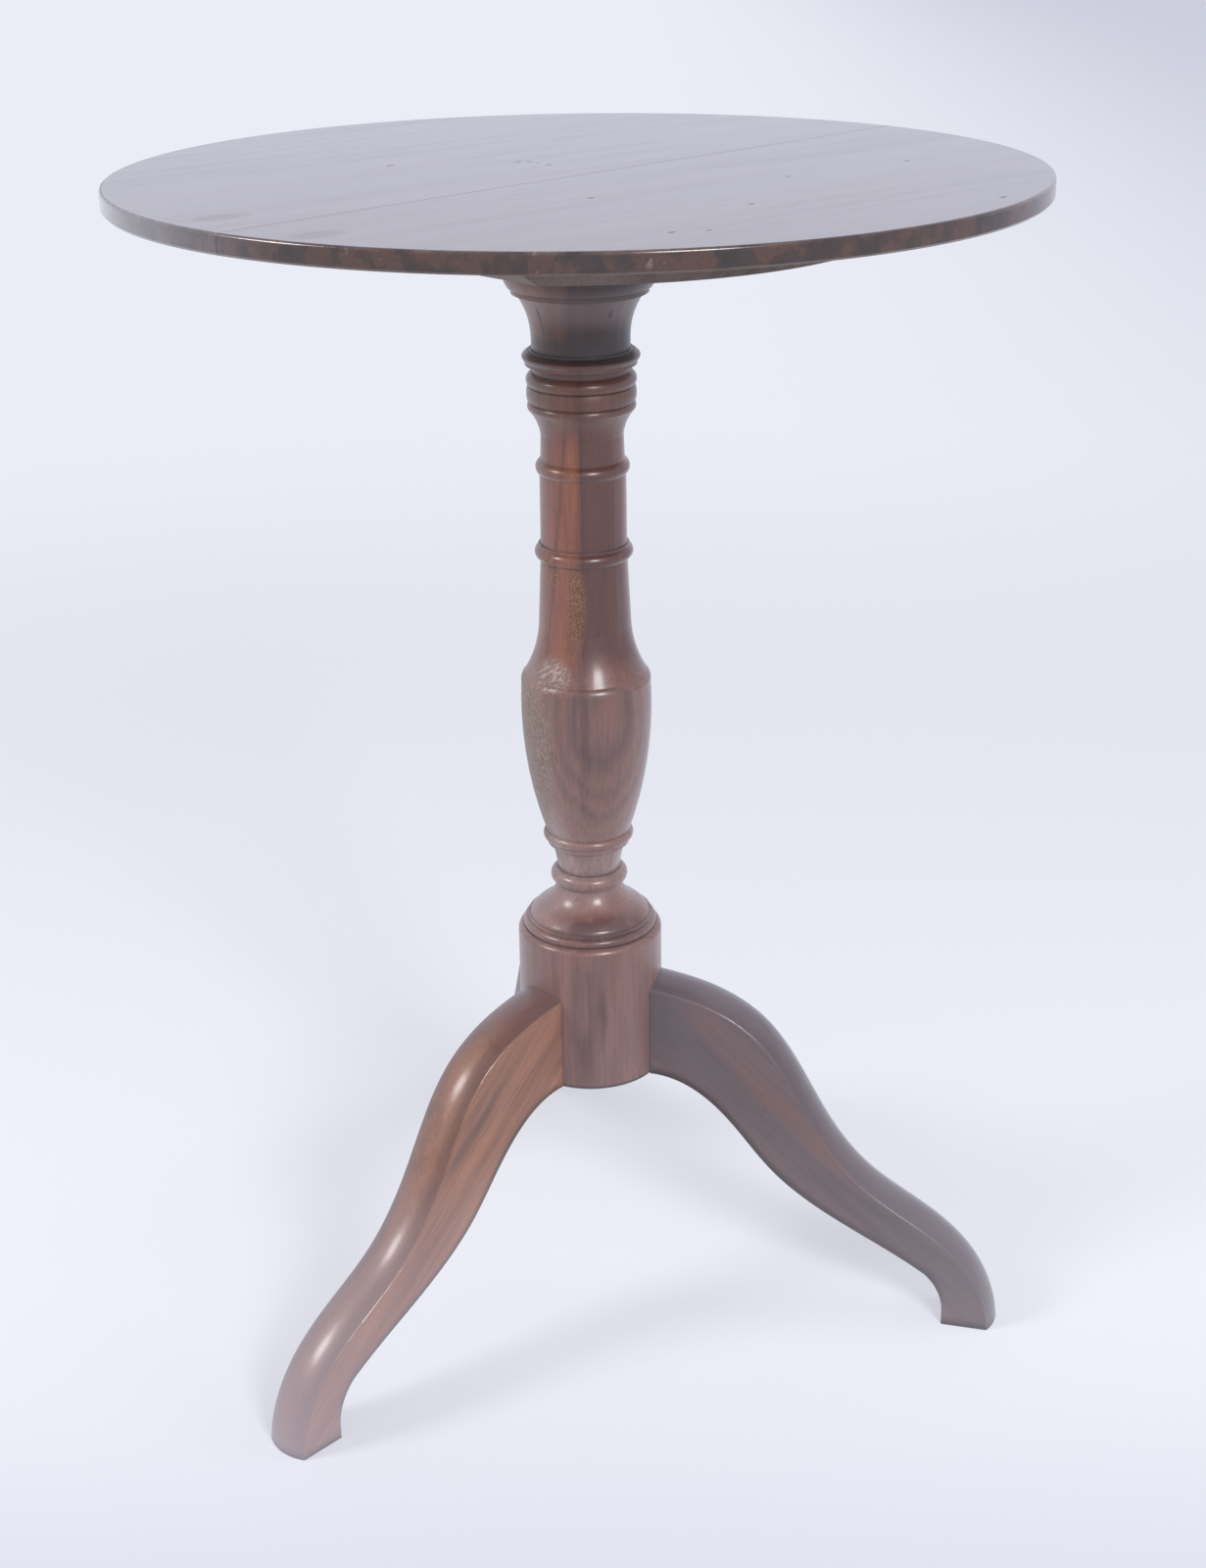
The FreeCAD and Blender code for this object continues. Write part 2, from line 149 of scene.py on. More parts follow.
# Up or down the column the bands give way to another colour, between two heights each time:
# among the upper rings, in the hollow above them, from the vase down and from the dome down.
for start, end, most, part_colour in (
    (576.0, 596.0, 0.6, linear("#684537")),
    (622.0, 640.0, 0.95, capital_shade),
    (455.0, 425.0, 1.0, red_part),
    (305.0, 285.0, 0.2, linear("#98523c")),
):
    part = node(wood, "MapRange", {
        "Value": height, "From Min": start * MM, "From Max": end * MM, "To Max": most,
    }, **SMOOTH)
    turned_colour = node(wood, "Mix", {
        SHARE: part, UNDER: turned_colour, OVER: part_colour,
    }, **COLOURS)
beside_line = node(wood, "Math", {0: leftward, 1: 1.0 * MM}, operation="SUBTRACT")
beside_line = node(wood, "Math", {0: beside_line}, operation="ABSOLUTE")
beside_line = node(wood, "MapRange", {
    "Value": beside_line, "From Min": 5.0 * MM, "From Max": 0.5 * MM, "To Max": 0.38,
}, **SMOOTH)
fading = node(wood, "MapRange", {
    "Value": height, "From Min": 345.0 * MM, "From Max": 395.0 * MM, "To Min": 0.1,
})
beside_line = node(wood, "Math", {0: beside_line, 1: fading}, operation="MULTIPLY")
turned_colour = node(wood, "Mix", {
    SHARE: beside_line, UNDER: turned_colour, OVER: linear("#402522"),
}, **COLOURS)


def veined(plank, colour, vein, spacing, lines, smoke):
    """Growth lines at a spacing in mm, smoky streaks, fibre and pores over a colour.
    lines and smoke say how strongly the first two show."""
    tree = plank["tree"]
    rings = node(tree, "TexNoise", {
        "W": plank["growth"], "Scale": 1 / (spacing * MM), "Detail": 1,
    }, noise_dimensions="1D")
    beside = node(tree, "Math", {0: rings, 1: 0.5}, operation="SUBTRACT")
    beside = node(tree, "Math", {0: beside}, operation="ABSOLUTE")
    line = node(tree, "MapRange", {
        "Value": beside, "From Min": 0.15, "From Max": 0.0, "To Max": lines,
    }, **SMOOTH)
    stronger = node(tree, "MapRange", {"Value": plank["smoke"], "From Min": 0.36, "From Max": 0.6})
    line = node(tree, "Math", {0: line, 1: stronger}, operation="MULTIPLY")
    cloud = node(tree, "MapRange", {
        "Value": plank["smoke"], "From Min": 0.48, "From Max": 0.70, "To Max": smoke,
    }, **SMOOTH)
    dark = node(tree, "Math", {0: line, 1: cloud}, operation="MAXIMUM")
    streak = node(tree, "MapRange", {
        "Value": plank["fibre"], "From Min": 0.40, "From Max": 0.70, "To Max": 0.24,
    }, **SMOOTH)
    pores = node(tree, "Math", {0: plank["pores"], 1: 0.4}, operation="MULTIPLY")
    for share, over in ((dark, vein), (streak, vein), (pores, "#1c1010")):
        colour = node(tree, "Mix", {SHARE: share, UNDER: colour, OVER: linear(over)}, **COLOURS)
    return colour


def worn_marks(plank, marks, edge=0.35, by="place"):
    """Share of oval marks on a piece: centre and half sizes of each in mm, by place or by grain.
    edge is the part of its size over which a mark fades."""
    tree = plank["tree"]
    share = 0.0
    for centre, half_sizes in marks:
        oval = node(tree, "Mapping", {
            "Vector": plank[by], "Location": Vector(centre) * MM, "Scale": Vector(half_sizes) * MM,
        }, vector_type="TEXTURE")
        away = node(tree, "VectorMath", {0: oval}, out="Value", operation="LENGTH")
        mark = node(tree, "MapRange", {
            "Value": away, "From Min": 1 + edge, "From Max": 1 - edge,
        }, **SMOOTH)
        share = node(tree, "Math", {0: share, 1: mark}, operation="MAXIMUM")
    return share


turned_colour = veined(turned, turned_colour, vein="#331d1b", spacing=8.0, lines=0.22, smoke=0.25)
# Marks: smoke and dark streaks on drum and dome, polish flaked off the left of the vase, speckles
# on the shaft, scratches on the vase's shoulder, a painted grey reflection high in the hollow below
# the plate, knocks, and painted shade round the foot of the hollow and of the drum.
on_drum = node(wood, "MapRange", {
    "Value": height, "From Min": 268.0 * MM, "From Max": 258.0 * MM, "To Max": 0.35,
})
drum_smoke = node(wood, "MapRange", {
    "Value": turned["wander"], "From Min": -0.02, "From Max": 0.16,
}, **SMOOTH)
streaked = node(wood, "MapRange", {
    "Value": turned["smoke"], "From Min": 0.36, "From Max": 0.52, "To Min": 0.4, "To Max": 0.85,
}, **SMOOTH)
drum_streak = worn_marks(turned, [
    ((28.9, -35.8, 218.0), (7.0, 7.0, 46.0)), ((36.5, -28.0, 212.0), (4.0, 4.0, 20.0)),
], edge=0.6)
dome_foot = worn_marks(turned, [((27.0, -15.0, 271.0), (26.0, 26.0, 7.0))], edge=0.5)
over_dome = worn_marks(turned, [((0.0, 0.0, 281.0), (120.0, 120.0, 20.0))], edge=0.3)
drum_streak = node(wood, "Math", {0: drum_streak, 1: dome_foot}, operation="MAXIMUM")
drum_streak = node(wood, "Math", {
    0: over_dome, 1: 0.17, 2: drum_streak,
}, operation="MULTIPLY_ADD", use_clamp=True)
dry_edge = node(wood, "Math", {
    0: turned["smoke"], 1: 45.0 * MM, 2: leftward,
}, operation="MULTIPLY_ADD")
dry_left = node(wood, "MapRange", {
    "Value": dry_edge, "From Min": 36.0 * MM, "From Max": 50.0 * MM, "To Max": 0.9,
}, **SMOOTH)
on_vase = worn_marks(turned, [((-20.0, -30.0, 370.0), (45.0, 45.0, 66.0))], edge=0.15)
dry_left = node(wood, "Math", {0: dry_left, 1: on_vase}, operation="MULTIPLY")
flakes = node(wood, "TexNoise", {
    "Vector": turned["place"], "Scale": 1 / (2.2 * MM), "Detail": 4, "Roughness": 0.75,
})
flakes = node(wood, "ValToRGB", {"Fac": flakes}, stops=[
    (0.32, "#5f4f45"), (0.5, "#807064"), (0.68, "#a0938a"),
])
speckled = worn_marks(turned, [
    ((15.2, -22.7, 483.4), (6.0, 6.0, 25.0)),
    ((0.0, -28.5, 505.0), (5.0, 5.0, 11.0)),
    ((2.0, -26.0, 600.0), (4.0, 4.0, 8.0)),
])
crumbs = node(wood, "TexNoise", {
    "Vector": turned["place"], "Scale": 1 / (0.9 * MM), "Detail": 1,
})
crumbs = node(wood, "ValToRGB", {"Fac": crumbs}, stops=[
    (0.42, "#62432f"), (0.56, "#745643"), (0.7, "#9c8470"),
])
scuffed = worn_marks(turned, [((4.9, -33.9, 440.0), (11.0, 8.0, 9.5))], edge=0.5)
scratches = node(wood, "Mapping", {
    "Vector": turned["place"], "Rotation": Euler((0.0, 0.75, 0.0)), "Scale": (1, 1, 16),
}, vector_type="TEXTURE")
scratches = node(wood, "TexNoise", {"Vector": scratches, "Scale": 1 / (1.6 * MM), "Detail": 1})
scratches = node(wood, "MapRange", {
    "Value": scratches, "From Min": 0.46, "From Max": 0.60, "To Max": 0.6,
})
# A painted grey reflection, high in the hollow below the plate.
hollow_reflection = worn_marks(turned, [((0.0, 0.0, 661.0), (90.0, 90.0, 10.0))], edge=0.6)
knocks_and_shade = worn_marks(turned, [
    ((-0.8, -32.1, 653.0), (1.2, 5.0, 11.0)),
    ((31.9, -7.8, 657.6), (1.6, 1.6, 3.0)),
    ((-20.7, -41.0, 255.6), (1.4, 1.4, 2.0)),
    ((-23.9, -39.3, 243.2), (1.4, 1.4, 2.0)),
    # A ring round the foot of the hollow, darker: painted shade.
    ((0.0, 0.0, 635.5), (60.0, 60.0, 8.0)),
])
# Painted shade: a dark line round the foot of the drum.
foot_shade = node(wood, "MapRange", {
    "Value": height, "From Min": (DRUM_FOOT + 3.5) * MM, "From Max": (DRUM_FOOT + 2.0) * MM,
})
for share, strength, mark_colour in (
    (drum_smoke, on_drum, linear("#452920")),
    (drum_streak, streaked, linear("#47281f")),
    (dry_left, 0.65, flakes),
    (speckled, 0.55, crumbs),
    (scuffed, 0.5, linear("#807473")),
    (scuffed, scratches, linear("#b3a098")),
    (hollow_reflection, 0.36, linear("#927c79")),
    (knocks_and_shade, 0.7, linear("#30282a")),
    (foot_shade, 1.0, linear("#231918")),
):
    share = node(wood, "Math", {0: share, 1: strength}, operation="MULTIPLY")
    turned_colour = node(wood, "Mix", {
        SHARE: share, UNDER: turned_colour, OVER: mark_colour,
    }, **COLOURS)
dry = node(wood, "Math", {0: dry_left, 1: speckled}, operation="MAXIMUM")
dry = node(wood, "Math", {0: dry, 1: scuffed}, operation="MAXIMUM")


def old_polish(
    plank, colour, gloss, shine, dust_and_shade, dust_and_shade_mm, painted_low_haze=0.0, painted_low_haze_mm=0.0, dry=0.0, rubbed=0.0,
    haze=0.0,
):
    """Shellac polish that has aged: gloss is its least and most roughness, shine its weight, and
    dry where it has gone. Dust and a painted shade gather where the surface is hemmed in within
    a few mm. A painted pale haze thins out up to a height in mm, rubbed is how pale the upper
    arrises are, and haze is the weight of the fine dusting that greys the whole."""
    tree = plank["tree"]
    # A painted pale haze over the colour, thinning out up to a height.
    if painted_low_haze:
        height = node(tree, "SeparateXYZ", {0: plank["place"]}, out="Z")
        low_haze_share = node(tree, "MapRange", {
            "Value": height, "From Min": painted_low_haze_mm * MM, "From Max": 0.0, "To Max": painted_low_haze,
        })
        colour = node(tree, "Mix", {
            SHARE: low_haze_share, UNDER: colour, OVER: linear("#b3a9b2"),
        }, **COLOURS)
    if rubbed:
        worn_normal = node(tree, "Bevel", {"Radius": 2.0 * MM}, samples=4)
        true_normal = node(tree, "NewGeometry", {}, out="Normal")
        alike = node(tree, "VectorMath", {
            0: worn_normal, 1: true_normal,
        }, out="Value", operation="DOT_PRODUCT")
        arris = node(tree, "MapRange", {
            "Value": alike, "From Min": 0.985, "From Max": 0.90, "To Max": rubbed,
        }, **SMOOTH)
        broken = node(tree, "MapRange", {
            "Value": plank["smoke"], "From Min": 0.42, "From Max": 0.58,
        })
        upward = node(tree, "SeparateXYZ", {0: worn_normal}, out="Z")
        upward = node(tree, "MapRange", {"Value": upward, "From Min": 0.0, "From Max": 0.2})
        arris = node(tree, "Math", {0: arris, 1: broken}, operation="MULTIPLY")
        arris = node(tree, "Math", {0: arris, 1: upward}, operation="MULTIPLY")
        colour = node(tree, "Mix", {
            SHARE: arris, UNDER: colour, OVER: linear("#c2a796"),
        }, **COLOURS)
    # Dust and a painted shade: a darker colour, and more roughness, where the surface is hemmed in.
    hemmed = node(tree, "AmbientOcclusion", {"Distance": dust_and_shade_mm * MM}, out="AO", samples=6)
    dust_and_shade_share = node(tree, "MapRange", {
        "Value": hemmed, "From Min": 0.8, "From Max": 0.3, "To Max": 0.9,
    }, **SMOOTH)
    colour = node(tree, "Mix", {SHARE: dust_and_shade_share, UNDER: colour, OVER: linear(dust_and_shade)}, **COLOURS)
    dull = node(tree, "MapRange", {
        "Value": plank["patches"], "From Min": 0.3, "From Max": 0.7,
        "To Min": gloss[0], "To Max": gloss[1],
    })
    dull = node(tree, "Math", {0: dust_and_shade_share, 1: 0.3, 2: dull}, operation="MULTIPLY_ADD")
    coat = shine
    if dry:
        dull = node(tree, "Math", {
            0: dry, 1: 0.35, 2: dull,
        }, operation="MULTIPLY_ADD", use_clamp=True)
        coat = node(tree, "MapRange", {"Value": dry, "To Min": shine, "To Max": 0.0})
    depth = node(tree, "Math", {0: plank["pores"], 1: -1.0}, operation="MULTIPLY")
    relief = node(tree, "Bump", {"Height": depth, "Strength": 0.25, "Distance": 0.1 * MM})
    surface = node(tree, "BsdfPrincipled", {
        "Base Color": colour, "Roughness": dull, "Normal": relief, "IOR": 1.45,
        "Coat Weight": coat, "Coat Roughness": 0.21, "Coat IOR": 1.5,
        "Sheen Weight": haze, "Sheen Roughness": 0.5, "Sheen Tint": linear("#dbe4f6"),
    })
    node(tree, "OutputMaterial", {"Surface": surface})
    return plank["material"]


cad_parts["column"].material_slots[0].material = old_polish(
    turned, turned_colour, gloss=(0.34, 0.46), shine=0.5, dust_and_shade="#352b2c", dust_and_shade_mm=5.0,
    painted_low_haze=0.15, painted_low_haze_mm=420.0, dry=dry, haze=0.25,
)

# Three legs, each sawn from plank to an S, with a crowned back, slid into the drum on a dovetail.
# The grain runs down the slope. The front leg is warm brown, the right one is dark heartwood.
# The polish is like the column's: rubbed along the arrises, painted black shade below, and a
# painted pale haze near the floor.
# Painted shade also darkens each leg near the drum, along its crowned back and beside its arrises.
LEG_LEAN = math.radians(42.0)
LEG_REACH = 140.0
leg_looks = {
    "leg_front": {
        "turn": math.radians(270.0), "heart": (30.0, 60.0, 150.0), "vein": "#3a2520",
        "back": "#664c49", "painted_low_haze": 0.52, "smoke": 0.25, "streak": "#4a3534", "streaks": (
            ((108.0, -13.7, 134.5), (48.0, 9.0, 7.0)), ((128.2, -41.1, 147.1), (2.2, 2.2, 2.2)),
        ), "bands": (
            (0.0, "#9a6750"), (0.3, "#a47257"), (0.42, "#94624c"), (0.5, "#aa785a"),
            (0.7, "#a16f56"), (0.8, "#8e5e46"), (0.85, "#9d6b52"), (1.0, "#96664d"),
        ),
    },
    "leg_rear_right": {
        "turn": math.radians(30.0), "heart": (-30.0, 60.0, 150.0), "vein": "#41353a",
        "back": "#66595e", "painted_low_haze": 0.2, "smoke": 0.5, "streak": "#75544c", "streaks": (
            ((50.0, -83.2, 93.0), (45.0, 9.0, 9.0)), ((115.0, -83.2, 82.0), (50.0, 9.0, 9.0)),
        ), "bands": (
            (0.0, "#665759"), (0.25, "#5f5154"), (0.38, "#6c5553"), (0.45, "#5d5053"),
            (0.55, "#66575a"), (0.68, "#6a5553"), (0.76, "#5c4f52"), (1.0, "#665759"),
        ),
    },
    "leg_rear_left": {
        "turn": math.radians(150.0), "heart": (-30.0, -60.0, 150.0), "vein": "#331f1c",
        "back": "#49302b", "painted_low_haze": 0.2, "smoke": 0.45, "streak": "#331f1c", "streaks": (
            ((87.0, -57.0, 99.0), (45.0, 20.0, 8.0)),
        ), "bands": (
            (0.0, "#66423a"), (0.3, "#70473b"), (0.45, "#553630"), (0.55, "#70483b"),
            (0.8, "#5b3a33"), (1.0, "#684339"),
        ),
    },
}
for leg_name, look in leg_looks.items():
    leg_plank = sawn_rosewood(
        leg_name + "_rosewood_old_polish",
        heart=look["heart"], turn=look["turn"], lean=LEG_LEAN, sway=18.0,
    )
    sawn = leg_plank["tree"]
    leg_colour = banded(leg_plank, leg_plank["growth"], 0.0, LEG_REACH, look["bands"])
    leg_colour = veined(
        leg_plank, leg_colour, vein=look["vein"], spacing=11.0, lines=0.3, smoke=look["smoke"],
    )
    from_drum = node(sawn, "VectorMath", {
        0: leg_plank["place"], 1: (1, 1, 0),
    }, operation="MULTIPLY")
    from_drum = node(sawn, "VectorMath", {0: from_drum}, out="Value", operation="LENGTH")
    # Painted shade near the drum, broken up by the smoke.
    shade_near_drum = node(sawn, "MapRange", {
        "Value": from_drum, "From Min": 125.0 * MM, "From Max": 65.0 * MM,
    }, **SMOOTH)
    flecked = node(sawn, "MapRange", {
        "Value": leg_plank["smoke"], "From Min": 0.44, "From Max": 0.60,
        "To Min": 0.1, "To Max": 0.3,
    }, **SMOOTH)
    streaky = node(sawn, "MapRange", {
        "Value": leg_plank["smoke"], "From Min": 0.38, "From Max": 0.60,
        "To Min": 0.15, "To Max": 0.6,
    }, **SMOOTH)
    # flank is 1 on a leg's two flanks and 0 along the middle of its back.
    facing = node(sawn, "NewGeometry", {}, out="Normal")
    flank = node(sawn, "VectorMath", {
        0: facing, 1: (-math.sin(look["turn"]), math.cos(look["turn"]), 0.0),
    }, out="Value", operation="DOT_PRODUCT")
    flank = node(sawn, "Math", {0: flank}, operation="ABSOLUTE")
    # Painted shade where the crowned back turns down to the arrises, in the vein colour.
    shade_beside_arris = node(sawn, "MapRange", {
        "Value": flank, "From Min": 0.12, "From Max": 0.45, "To Max": 0.5,
    }, **SMOOTH)
    beyond_arris = node(sawn, "MapRange", {"Value": flank, "From Min": 0.8, "From Max": 0.6})
    crown = node(sawn, "MapRange", {"Value": flank, "From Min": 0.95, "From Max": 0.75}, **SMOOTH)
    towards_toe = node(sawn, "MapRange", {
        "Value": from_drum, "From Min": 140.0 * MM, "From Max": 200.0 * MM, "To Max": 0.25,
    }, **SMOOTH)
    # Painted shade along the crowned back, strongest near the drum.
    shoulder = node(sawn, "MapRange", {
        "Value": from_drum, "From Min": 115.0 * MM, "From Max": 60.0 * MM,
        "To Min": 0.2, "To Max": 0.85,
    }, **SMOOTH)
    # Painted black shade on the faces turned down, found by a rounded normal.
    rounded = node(sawn, "Bevel", {"Radius": 10.0 * MM}, samples=6)
    shade_below = node(sawn, "SeparateXYZ", {0: rounded}, out="Z")
    shade_below = node(sawn, "MapRange", {
        "Value": shade_below, "From Min": -0.08, "From Max": -0.22,
    }, **SMOOTH)
    leg_marks = [(shade_near_drum, flecked, look["back"])]
    for mark in look["streaks"]:
        streak = worn_marks(leg_plank, [mark], edge=0.6, by="grain")
        leg_marks.append((streak, streaky, look["streak"]))
    leg_marks += [
        (shade_beside_arris, beyond_arris, look["vein"]),
        (crown, towards_toe, "#6a6870"),
        (crown, shoulder, look["back"]),
        (shade_below, 0.9, "#161010"),
    ]
    for share, strength, mark_colour in leg_marks:
        share = node(sawn, "Math", {0: share, 1: strength}, operation="MULTIPLY")
        leg_colour = node(sawn, "Mix", {
            SHARE: share, UNDER: leg_colour, OVER: linear(mark_colour),
        }, **COLOURS)
    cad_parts[leg_name].material_slots[0].material = old_polish(
        leg_plank, leg_colour, gloss=(0.34, 0.46), shine=0.5, dust_and_shade="#2f2624", dust_and_shade_mm=5.0,
        painted_low_haze=look["painted_low_haze"], painted_low_haze_mm=150.0, rubbed=0.3, haze=0.25,
    )

# The plate under the top: a cross-grained piece of plain wood, sawn and chamfered, never polished.
# Bare and greyed with age, it is matt. The wedge driven into the column's tenon, in the middle of
# the plate, is split from the same wood.
for plate_name, plate_lean in (("under_plate", 0.0), ("tenon_wedge", -math.pi / 2)):
    plate_plank = sawn_rosewood(
        plate_name + "_bare_wood",
        heart=(0.0, 30.0, 560.0), turn=0.0, lean=plate_lean, sway=10.0,
    )
    plate_colour = banded(plate_plank, plate_plank["growth"], 80.0, 240.0, [
        (0.0, "#8c7f78"), (0.3, "#958780"), (0.5, "#7e716b"), (0.8, "#90827c"), (1.0, "#867972"),
    ])
    plate_colour = veined(
        plate_plank, plate_colour, vein="#5c504a", spacing=6.0, lines=0.4, smoke=0.4,
    )
    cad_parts[plate_name].material_slots[0].material = old_polish(
        plate_plank, plate_colour, gloss=(0.55, 0.75), shine=0.0, dust_and_shade="#4b423d", dust_and_shade_mm=5.0,
    )

# Six slotted wood screws, sunk in the plate from below.
# Steel that has browned with age: bare and grey in places, rusted matt in others.
screw_steel = bpy.data.materials.new("browned_steel")
screw_steel.use_nodes = True
steel = screw_steel.node_tree
steel.nodes.clear()
screw_place = node(steel, "TexCoord", {}, out="Object")
rust = node(steel, "TexNoise", {"Vector": screw_place, "Scale": 1 / (1.2 * MM), "Detail": 4})
steel_colour = node(steel, "ValToRGB", {"Fac": rust}, stops=[
    (0.35, "#8d8a86"), (0.55, "#6b5f58"), (0.7, "#5a3f30"),
])
rough = node(steel, "MapRange", {
    "Value": rust, "From Min": 0.3, "From Max": 0.7, "To Min": 0.35, "To Max": 0.7,
})
bright = node(steel, "MapRange", {"Value": rust, "From Min": 0.7, "From Max": 0.5})
steel_surface = node(steel, "BsdfPrincipled", {
    "Base Color": steel_colour, "Roughness": rough, "Metallic": bright,
})
node(steel, "OutputMaterial", {"Surface": steel_surface})
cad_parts["plate_screws"].material_slots[0].material = screw_steel

# The top: two boards of dark rosewood glued edge to edge, turned to a disc and polished flat.
# The upper face is the glossiest of all, with a fine dark line at the joint, pits and stains.
# The rim is darker and mottled, rubbed along its upper arris, greyed at the left by a painted
# reflection;
# the underside was never polished.
TOP_RADIUS = 265.0
TOP_FACE = 734.0
TOP_UNDERSIDE = 723.0
JOINT_X = 17.0
BOARD_REACH = 260.0
PITS = (
    (-48.1, -0.4, 1.4), (-43.2, 3.5, 1.1), (-36.0, 4.0, 0.9), (-25.8, 2.2, 1.2),
    (-93.8, -58.4, 1.6), (79.7, -70.5, 1.4), (122.1, 143.2, 1.2), (109.1, 53.2, 1.0),
    (156.6, -32.0, 1.2), (241.2, 67.5, 1.5), (184.0, -121.3, 1.3), (193.9, -105.8, 1.1),
)
STAINS = ((60.4, -236.2), (-19.1, -235.0))
for board_name, board_heart in (
    ("top_board_left", (-150.0, 0.0, 690.0)), ("top_board_right", (240.0, 0.0, 700.0)),
):
    board = sawn_rosewood(
        board_name + "_rosewood_high_polish",
        heart=board_heart, turn=math.radians(86.0), lean=0.0, sway=22.0,
    )
    grown = board["tree"]
    board_colour = banded(board, board["growth"], 0.0, BOARD_REACH, [
        (0.0, "#48302d"), (0.2, "#422c2a"), (0.35, "#4b3330"), (0.5, "#412b2a"),
        (0.62, "#49312e"), (0.8, "#402a29"), (1.0, "#47302e"),
    ])
    board_colour = veined(
        board, board_colour, vein="#2a1b1a", spacing=12.0, lines=0.35, smoke=0.3,
    )
    spread = node(grown, "VectorMath", {0: board["place"], 1: (1, 1, 0)}, operation="MULTIPLY")
    spread = node(grown, "VectorMath", {0: spread}, out="Value", operation="LENGTH")
    rim = node(grown, "MapRange", {
        "Value": spread, "From Min": (TOP_RADIUS - 2.2) * MM, "From Max": (TOP_RADIUS - 0.8) * MM,
    }, **SMOOTH)
    rubbed_rim = node(grown, "MapRange", {
        "Value": spread, "From Min": (TOP_RADIUS - 8.0) * MM, "From Max": (TOP_RADIUS - 4.0) * MM,
        "To Max": 0.4,
    })
    mottle = node(grown, "TexNoise", {
        "Vector": board["place"], "Scale": 1 / (16 * MM), "Detail": 6, "Roughness": 0.65,
    })
    rim_colour = node(grown, "ValToRGB", {"Fac": mottle}, stops=[
        (0.36, "#1e1413"), (0.48, "#301e1a"), (0.56, "#472b20"), (0.62, "#38241e"),
        (0.7, "#6d5850"),
    ])
    # A painted reflection of the pale room greys the left part of the rim.
    rim_reflection = worn_marks(board, [((-112.0, -240.0, 728.0), (125.0, 95.0, 40.0))], edge=0.5)
    patchy = node(grown, "MapRange", {
        "Value": mottle, "From Min": 0.40, "From Max": 0.60, "To Min": 0.62, "To Max": 0.84,
    })
    rim_reflection = node(grown, "Math", {0: rim_reflection, 1: patchy}, operation="MULTIPLY")
    rim_colour = node(grown, "Mix", {
        SHARE: rim_reflection, UNDER: rim_colour, OVER: linear("#7c777d"),
    }, **COLOURS)
    sideways = node(grown, "SeparateXYZ", {0: board["place"]}, out="X")
    joint = node(grown, "Math", {
        0: sideways, 1: JOINT_X * MM, 2: 0.4 * MM,
    }, operation="COMPARE")
    pits = worn_marks(board, [
        ((pit_x, pit_y, TOP_FACE), (size, size * 1.8, 2.0)) for pit_x, pit_y, size in PITS
    ])
    broken = node(grown, "Math", {0: pits, 1: joint}, operation="MAXIMUM")
    broken = node(grown, "Math", {0: broken, 1: 0.7}, operation="MULTIPLY")
    level = node(grown, "SeparateXYZ", {0: board["place"]}, out="Z")
    bare = node(grown, "MapRange", {
        "Value": level,
        "From Min": (TOP_UNDERSIDE + 0.7) * MM, "From Max": (TOP_UNDERSIDE + 0.2) * MM,
    })
    for share, strength, mark_colour in (
        (rim, 1.0, rim_colour),
        (broken, 1.0, linear("#291c19")),
        (bare, 0.55, linear("#8d776a")),
    ):
        share = node(grown, "Math", {0: share, 1: strength}, operation="MULTIPLY")
        board_colour = node(grown, "Mix", {
            SHARE: share, UNDER: board_colour, OVER: mark_colour,
        }, **COLOURS)
    faded = node(grown, "Mapping", {"Vector": board["grain"], "Scale": (1 / 14, 1, 1)})
    faded = node(grown, "TexNoise", {"Vector": faded, "Scale": 1 / (20 * MM), "Detail": 4})
    half_dry = node(grown, "MapRange", {
        "Value": faded, "From Min": 0.42, "From Max": 0.70, "To Max": 0.07,
    }, **SMOOTH)
    for stain_x, stain_y in STAINS:
        stain = worn_marks(board, [((stain_x, stain_y, TOP_FACE), (9.0, 16.0, 6.0))], edge=0.5)
        half_dry = node(grown, "Math", {
            0: stain, 1: 0.2, 2: half_dry,
        }, operation="MULTIPLY_ADD")
    half_dry = node(grown, "Math", {0: half_dry, 1: broken}, operation="MAXIMUM")
    half_dry = node(grown, "Math", {0: half_dry, 1: bare}, operation="MAXIMUM", use_clamp=True)
    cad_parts[board_name].material_slots[0].material = old_polish(
        board, board_colour, gloss=(0.14, 0.17), shine=0.9, dust_and_shade="#2c2220", dust_and_shade_mm=2.0,
        dry=half_dry, rubbed=rubbed_rim,
    )

# The floor: a roll of matt paper, pale and a little blue, run out under the table and behind it.
# It is lit from the left; painted shade greys it slightly to the right and in front of the table,
# and it takes the table's soft shadow.
# Far off, and to a reflection, it shows its own even paleness. Distances on it are in metres.
FLOOR_REACH = 30.0
FLOOR_LEVEL = -0.3 * MM
RIGHT = (0.712, 0.702, 0.0)
FRONT = (0.702, -0.712, 0.0)
floor_sheet = bmesh.new()
bmesh.ops.create_grid(
    floor_sheet, x_segments=1, y_segments=1, size=FLOOR_REACH,
    matrix=Matrix.Translation((0.0, 0.0, FLOOR_LEVEL)),
)
floor_mesh = bpy.data.meshes.new("paper_floor")
floor_sheet.to_mesh(floor_mesh)
floor_sheet.free()
floor = bpy.data.objects.new("paper_floor", floor_mesh)
bpy.context.scene.collection.objects.link(floor)


def looked_at(tree):
    """Share of the rays that see a surface: straight, in a reflection or through glass."""
    seen = 0.0
    for kind in ("Is Camera Ray", "Is Glossy Ray", "Is Transmission Ray"):
        ray = node(tree, "LightPath", {}, out=kind)
        seen = node(tree, "Math", {0: seen, 1: ray}, operation="MAXIMUM")
    return seen


